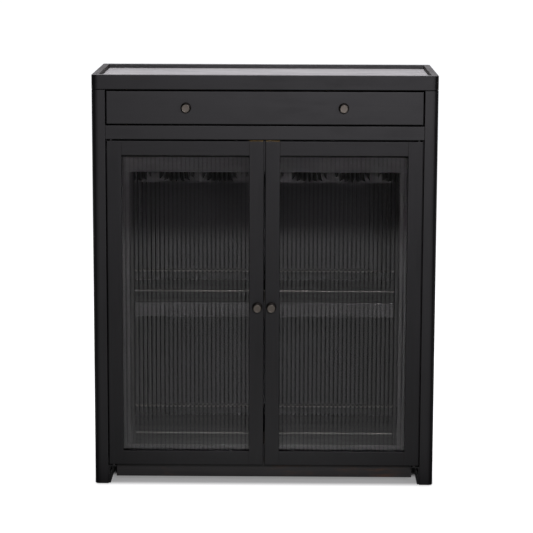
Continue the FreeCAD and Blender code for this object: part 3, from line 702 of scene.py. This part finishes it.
# %% [markdown]
# ## Reeded glass
# Reeded glass is rolled while hot between a plain roller and a grooved one, which leaves a row of
# shallow convex ribs down the front. The glass is clear. The steep valleys between the ribs are
# tinted darker, a painted shade for the light that leaves them to the side, and a dark line along
# the top edge of each pane is the painted shadow of the door's top rail.

# %% Glass finish
SHADOW_LINE_START, SHADOW_LINE_WHOLE = 0.9900, 0.9930
VALLEY_START, VALLEY_WHOLE = 0.35, 0.64
CLEAR, VALLEY_PAINTED_SHADE, TOP_PAINTED_SHADOW = (0.955, 0.953, 0.955, 1), (0.70, 0.70, 0.705, 1), (0.42, 0.42, 0.42, 1)
GLASS_IOR = 1.5

reeded_glass, tree, shader = new_finish("reeded_glass")
place = on_piece(tree)
ripple = noise(tree, place, (1, 1, 0.25), 34.0, 2.0)
film = noise(tree, place, EVEN, 9.0, 4.0)
slope = unsigned(tree, split(tree, node(tree, "TexCoord").outputs["Normal"])["X"])
# Painted shade: the steep sides of each rib are tinted darker.
tint = between(tree, spread(tree, slope, VALLEY_START, VALLEY_WHOLE), CLEAR, VALLEY_PAINTED_SHADE)
# Painted shadow: a dark line along the top of each pane, where the door's top rail casts its shadow.
tint = between(tree, spread(tree, split(tree, place)["Z"], SHADOW_LINE_START, SHADOW_LINE_WHOLE), tint, TOP_PAINTED_SHADOW)
coat(tree, shader, tint, spread(tree, film, 0.35, 0.8, 0.0, 0.012), relief(tree, ripple, 0.004, 0.0003))
shader.inputs["Transmission Weight"].default_value = 1.0
shader.inputs["IOR"].default_value = GLASS_IOR
print("painted_shadow line", round((SHADOW_LINE_WHOLE - SHADOW_LINE_START) * 1000, 1), "mm soft")

# %% [markdown]
# ### The panes
# One rib is an arc: a single vertex spun about the rib's own centre. The arc is copied along the
# pane, the valleys merge, and the outline is closed at the back and drawn upwards.

# %% Row of reeds
REED, REED_RISE, REED_STEPS = 0.0127, 0.0024, 14
REED_RADIUS = (REED * REED / 4 + REED_RISE * REED_RISE) / (2 * REED_RISE)
REED_SWEEP = 2 * math.asin(REED / 2 / REED_RADIUS)


def reed_row(drawing, first, crown, foot, count):
    start = drawing.verts.new((first, crown + REED_RISE, foot))
    bmesh.ops.spin(drawing, geom=[start], cent=(first + REED / 2, crown + REED_RADIUS, foot), axis=(0, 0, 1),
                   angle=REED_SWEEP, steps=REED_STEPS, use_duplicate=False)
    rib = drawing.verts[:] + drawing.edges[:]
    for n in range(1, count):
        copied = bmesh.ops.duplicate(drawing, geom=rib)["geom"]
        bmesh.ops.translate(drawing, verts=points_of(copied), vec=(n * REED, 0, 0))
    bmesh.ops.remove_doubles(drawing, verts=drawing.verts, dist=1e-5)
    return sorted(drawing.verts, key=lambda v: v.co.x)


print("reed radius", round(REED_RADIUS * 1000, 2), "mm")

# %% Reeded panes
def reeded_pane(body, stands_for):
    low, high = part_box(stands_for)
    valley = low.y + REED_RISE
    count = int((high.x - low.x) / REED)
    drawing = bmesh.new()
    row = reed_row(drawing, (low.x + high.x - count * REED) / 2, low.y, low.z, count)
    corners = [drawing.verts.new((x, y, low.z)) for x, y in
               ((high.x, valley), (high.x, high.y), (low.x, high.y), (low.x, valley))]
    for pair in zip([row[-1]] + corners, corners + [row[0]]):
        drawing.edges.new(pair)
    bmesh.ops.contextual_create(drawing, geom=drawing.edges[:])
    grown = bmesh.ops.extrude_face_region(drawing, geom=drawing.faces[:])["geom"]
    bmesh.ops.translate(drawing, verts=points_of(grown), vec=(0, 0, high.z - low.z))
    hand_over(drawing, body + "_reeded_pane", reeded_glass, body, [stands_for], crease=30.0)
    print(count, "reeds")


for door in DOORS:
    reeded_pane(door, door + "_glass")

# %% [markdown]
# ## Turned bronze
# The knobs, their backplates and the gallery posts are turned from bar on a lathe and given a
# gunmetal bronze colour. Every vertex of a turned piece remembers its distance from the axis and
# its place along it. The finish draws the tool's fine circles from the first, and from the second
# it finds the knob's flat face, which is painted much paler than the dark body: a painted highlight
# for the front light the face catches, and a painted shade for the sides.

# %% Bronze finish
FACE_START, FACE_WHOLE = 0.0236, 0.0246
WORN, WORN_BRONZE = 0.12, (0.24, 0.215, 0.185, 1)
KNOB_FACE_PAINTED_HIGHLIGHT = (0.17, 0.151, 0.129, 1)
KNOB_BODY_PAINTED_SHADE = (0.012, 0.011, 0.010, 1), (0.020, 0.018, 0.016, 1)
BACKPLATE = (0.012, 0.011, 0.010, 1), (0.021, 0.019, 0.017, 1)
POST = (0.10, 0.094, 0.086, 1), (0.15, 0.14, 0.125, 1)


def turned_bronze(name, dark, pale, rough, face=None):
    made, tree, shader = new_finish(name)
    ring = node(tree, "Attribute", {"attribute_name": "turn_radius"}).outputs["Fac"]
    along = node(tree, "Attribute", {"attribute_name": "turn_along"}).outputs["Fac"]
    cloud = noise(tree, on_piece(tree), EVEN, 170.0, 4.0, 0.6)
    lines = node(tree, "TexNoise", {"noise_dimensions": "1D"}, W=ring, Scale=2600.0, Detail=3.0)
    circles = lines.outputs["Fac"]
    tone = between(tree, spread(tree, cloud, 0.3, 0.72), dark, pale)
    if face is not None:
        # Painted highlight: the knob's flat face is much paler than its body, standing in for the front
        # light it catches.
        tone = between(tree, spread(tree, along, FACE_START, FACE_WHOLE), tone, face)
    rub = product(tree, edge_share(tree, 0.0008, 0.03, 0.30), WORN)
    coat(tree, shader, between(tree, rub, tone, WORN_BRONZE),
         spread(tree, circles, 0.25, 0.75, rough - 0.06, rough + 0.08), relief(tree, circles, 0.10, 0.0002))
    shader.inputs["Metallic"].default_value = 1.0
    return made


knob_bronze = turned_bronze("gunmetal_bronze", *KNOB_BODY_PAINTED_SHADE, 0.36, KNOB_FACE_PAINTED_HIGHLIGHT)
plate_bronze = turned_bronze("dark_bronze", *BACKPLATE, 0.42)
post_bronze = turned_bronze("post_bronze", *POST, 0.33)
print("bronzes:", knob_bronze.name, plate_bronze.name, post_bronze.name)

# %% [markdown]
# ### A lathe
# A lathe is a spin: half the outline, drawn as pairs of distance from the axis and place along it,
# is spun through a full turn and merged where it closes. Both numbers are then written on the new
# vertices for the finish. Adding a layer can make an earlier handle invalid, so both layers are
# added before either is fetched.

# %% Lathe
UPRIGHT = Vector((0, 0, 1))
OUT = Vector((0, -1, 0))
SIDEWAYS = Vector((1, 0, 0))


def lathe(drawing, outline, centre, axis, turns):
    layers = drawing.verts.layers.float
    for name in ("turn_radius", "turn_along"):
        if layers.get(name) is None:
            layers.new(name)
    radius_mark, along_mark = layers.get("turn_radius"), layers.get("turn_along")
    before = set(drawing.verts)
    points = [drawing.verts.new(centre + axis * along + SIDEWAYS * radius) for radius, along in outline]
    edges = [drawing.edges.new(pair) for pair in zip(points, points[1:])]
    bmesh.ops.spin(drawing, geom=points + edges, cent=centre, axis=axis, angle=math.tau, steps=turns,
                   use_merge=True, use_duplicate=False)
    for vert in set(drawing.verts) - before:
        arm = vert.co - centre
        vert[radius_mark] = (arm - axis * arm.dot(axis)).length
        vert[along_mark] = arm.dot(axis)


# %% [markdown]
# ### Knobs and backplates
# A knob has a waisted neck, a rounded edge and a flat face inside a narrow raised rim. It stands on
# a low round plate with one fine groove near its edge. The drawer has two of them and each door has
# one, and the plain solids say where.

# %% Outlines of knob and backplate
FACE = 0.012
REACH = 0.025
PLATE = 0.0155
PLATE_THICK = 0.0025
KNOB_NECK = ((0.0, PLATE_THICK), (0.0052, PLATE_THICK), (0.0050, 0.0040), (0.0048, 0.0085), (0.0052, 0.0120),
             (0.0066, 0.0143))
KNOB_HEAD = ((0.0090, 0.0155), (0.0106, 0.0163), (0.0116, 0.0174), (FACE, 0.0190), (FACE, 0.0232),
             (0.0118, 0.0241), (0.0114, 0.0247))
KNOB_RIM = ((0.0109, REACH), (0.0103, REACH), (0.0099, 0.0248), (0.0096, 0.0244), (0.0060, 0.02435),
            (0.0, 0.0243))
KNOB_OUTLINE = KNOB_NECK + KNOB_HEAD + KNOB_RIM
PLATE_OUTLINE = ((0.0, 0.0), (PLATE, 0.0), (PLATE, 0.0009), (0.0152, 0.0015), (0.0146, 0.0019),
                 (0.0136, 0.0021), (0.0132, 0.0018), (0.0128, 0.0021), (0.0100, 0.0024),
                 (0.0060, PLATE_THICK), (0.0, PLATE_THICK))
KNOB_TURNS = 72


def knob_places(node_name):
    low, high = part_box(node_name)
    middle = (low + high) / 2
    face = high.y + PLATE_THICK
    if high.x - low.x < 4 * FACE:
        return [Vector((middle.x, face, middle.z))]
    return [Vector((x, face, middle.z)) for x in (low.x + FACE, high.x - FACE)]


print("drawer knobs at x", [round(place.x, 3) for place in knob_places("drawer_knobs")])

# %% Knobs and backplates
for body, knob, plate in (("drawer", "drawer_knobs", "drawer_backplates"),
                          *[(door, door + "_knob", door + "_backplate") for door in DOORS]):
    heads, plates = bmesh.new(), bmesh.new()
    for centre in knob_places(knob):
        lathe(heads, KNOB_OUTLINE, centre, OUT, KNOB_TURNS)
        lathe(plates, PLATE_OUTLINE, centre, OUT, KNOB_TURNS)
    hand_over(heads, knob + "_turned", knob_bronze, body, [knob], crease=50.0)
    hand_over(plates, plate + "_turned", plate_bronze, body, [plate], crease=50.0)

# %% [markdown]
# ## Gallery posts
# The rods that keep bottles from sliding are let into the inner frame at the front, and stand on
# small turned posts elsewhere: a flanged foot, a slim stem and a ball round the rod. They are spun
# like the knobs, about an upright axis. The ball's outline is an arc, so its points come from sine
# and cosine.

# %% Outline of a post
post_low, post_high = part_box("gallery_posts")
rod_low, rod_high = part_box("gallery_rods")
POST_FOOT = 0.008
ROD_RADIUS = 0.003
ROD_RISE = rod_low.z + ROD_RADIUS - post_low.z
BALL, BALL_START, BALL_STEPS = 0.0058, 0.6, 9
POST_TURNS = 28
FOOT_OUTLINE = [(0.0, 0.0), (POST_FOOT, 0.0), (POST_FOOT, 0.0012), (0.0075, 0.0018), (0.0060, 0.0022),
                (0.0042, 0.0030), (0.0034, 0.0045), (0.0030, 0.0080), (0.0029, 0.0190)]
COLLAR_OUTLINE = [(0.0031, ROD_RISE - 0.0085), (0.0036, ROD_RISE - 0.0065), (0.0036, ROD_RISE - 0.0058),
                  (0.0032, ROD_RISE - 0.0051)]
ball_turns = [BALL_START + n * (math.pi - BALL_START) / BALL_STEPS for n in range(BALL_STEPS)]
BALL_OUTLINE = [(BALL * math.sin(a), ROD_RISE - BALL * math.cos(a)) for a in ball_turns]
POST_OUTLINE = FOOT_OUTLINE + COLLAR_OUTLINE + BALL_OUTLINE + [(0.0, ROD_RISE + BALL)]
print("rods lie", round(ROD_RISE * 1000, 1), "mm above the shelf")

# %% Posts
front, rear = post_low.y + POST_FOOT, post_high.y - POST_FOOT
stands = [(0.0, front), (post_low.x + POST_FOOT, rear), (0.0, rear), (post_high.x - POST_FOOT, rear)]
posts = bmesh.new()
for base in (post_low.z, rod_high.z - ROD_RADIUS - ROD_RISE):
    for x, y in stands:
        lathe(posts, POST_OUTLINE, Vector((x, y, base)), UPRIGHT, POST_TURNS)
hand_over(posts, "gallery_posts_turned", post_bronze, "carcass", ["gallery_posts"],
          crease=45.0)

# %% [markdown]
# ## Screws
# The screws that show have a low round head with a cross recess. The recess starts as a three-by-
# three grid: the five cells of the cross are pushed down, the grid's rim is bridged to a circle,
# and the circle is drawn out and down to make the head. All its sizes are shares of the head's
# radius or height.

# %% Screw head
CROSS_REACH, CROSS_WIDTH, CROSS_DEPTH = 0.55, 0.42, 0.6
INNER_LINES, ON_AXIS = 0.4, 0.05
CROWN, CROWN_DROP, CROWN_SIDES, CROWN_TURN = 0.8, 0.12, 12, 15.0
HEAD_STEPS = ((1.25, 0.48), (1.0, 0.40))


def cross_cell(face, radius):
    middle = face.calc_center_median()
    return min(abs(middle.x), abs(middle.y)) < radius * ON_AXIS


def screw_head(radius, height):
    drawing = bmesh.new()
    bmesh.ops.create_grid(drawing, x_segments=3, y_segments=3, size=radius * CROSS_REACH)
    for vert in drawing.verts:
        for axis in (0, 1):
            if abs(vert.co[axis]) < radius * INNER_LINES:
                vert.co[axis] *= CROSS_WIDTH
    cross = [face for face in drawing.faces if cross_cell(face, radius)]
    rim = [e for e in drawing.edges if e.is_boundary]
    sunk = bmesh.ops.extrude_face_region(drawing, geom=cross)["geom"]
    bmesh.ops.translate(drawing, verts=points_of(sunk), vec=(0, 0, -height * CROSS_DEPTH))
    bmesh.ops.delete(drawing, geom=cross, context="FACES_ONLY")
    ring = bmesh.ops.create_circle(drawing, segments=CROWN_SIDES, radius=radius * CROWN)["verts"]
    bmesh.ops.rotate(drawing, verts=ring, cent=(0, 0, 0),
                     matrix=Matrix.Rotation(math.radians(CROWN_TURN), 3, "Z"))
    bmesh.ops.translate(drawing, verts=ring, vec=(0, 0, -height * CROWN_DROP))
    loop = list({e for v in ring for e in v.link_edges})
    bmesh.ops.bridge_loops(drawing, edges=rim + loop)
    for size, drop in HEAD_STEPS:
        step = bmesh.ops.extrude_edge_only(drawing, edges=loop)["geom"]
        loop = [e for e in step if isinstance(e, bmesh.types.BMEdge)]
        bmesh.ops.scale(drawing, verts=points_of(step), vec=(size, size, 1))
        bmesh.ops.translate(drawing, verts=points_of(step), vec=(0, 0, -height * drop))
    bmesh.ops.contextual_create(drawing, geom=loop)
    return drawing


# %% [markdown]
# ### Setting the screws
# One screw of a kind is made facing up, a head on a tapered shank, and then copied, turned and
# moved to each place. The back is held by two rows of screws. Each knob has one from the inside,
# and each catch plate has two.

# %% Screws in a group
SHANK_TIP, SHANK_SIDES = 0.3, 16


def one_screw(head, shank):
    radius, length = shank
    drawing = screw_head(*head)
    bmesh.ops.create_cone(drawing, cap_ends=True, segments=SHANK_SIDES, radius1=radius * SHANK_TIP,
                          radius2=radius, depth=length,
                          matrix=Matrix.Translation((0, 0, -head[1] - length / 2)))
    pattern = bpy.data.meshes.new("screw_pattern")
    drawing.to_mesh(pattern)
    drawing.free()
    return pattern


def set_screws(name, finish, body, stands_for, groups):
    whole = bmesh.new()
    for head, shank, turn, places in groups:
        pattern = one_screw(head, shank)
        for place in places:
            before = set(whole.verts)
            whole.from_mesh(pattern)
            fresh = [v for v in whole.verts if v not in before]
            bmesh.ops.rotate(whole, verts=fresh, cent=(0, 0, 0), matrix=turn)
            bmesh.ops.translate(whole, verts=fresh, vec=place)
        bpy.data.meshes.remove(pattern)
    hand_over(whole, name, finish, body, stands_for, crease=40.0)


# %% Back, knob and catch screws
TO_BACK = Matrix.Rotation(math.radians(-90), 3, "X")
UPWARDS = Matrix.Identity(3)
BACK_HEAD, BACK_SHANK, BACK_ROWS = (0.004, 0.002), (0.00175, 0.0295), 6
GRIP_HEAD, GRIP_SHANK = (0.0045, 0.0025), (0.002, 0.034)
CATCH_HEAD, CATCH_SHANK, CATCH_INSET = (0.0024, 0.0011), (0.0012, 0.0165), 0.0045

low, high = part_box("back_panel_screws")
edge = BACK_HEAD[0]
pitch_span = high.z - low.z - 2 * edge
back_places = [Vector((x, high.y, low.z + edge + n * pitch_span / (BACK_ROWS - 1)))
               for x in (low.x + edge, high.x - edge) for n in range(BACK_ROWS)]
set_screws("back_screws_cross", zinc, "carcass", ["back_panel_screws"],
           [(BACK_HEAD, BACK_SHANK, TO_BACK, back_places)])

grip_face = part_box("drawer_front")[1].y + GRIP_HEAD[1]
grips = [Vector((p.x, grip_face, p.z)) for p in knob_places("drawer_knobs")]
set_screws("drawer_screws_cross", zinc, "drawer", ["drawer_knob_screws"],
           [(GRIP_HEAD, GRIP_SHANK, TO_BACK, grips)])
for door in DOORS:
    grips = [Vector((p.x, grip_face, p.z)) for p in knob_places(door + "_knob")]
    low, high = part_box(door + "_catch_plate")
    caps = [Vector((x, (low.y + high.y) / 2, high.z + CATCH_HEAD[1]))
            for x in (low.x + CATCH_INSET, high.x - CATCH_INSET)]
    set_screws(door + "_screws_cross", brass, door, [door + "_screws"],
               [(GRIP_HEAD, GRIP_SHANK, TO_BACK, grips), (CATCH_HEAD, CATCH_SHANK, UPWARDS, caps)])
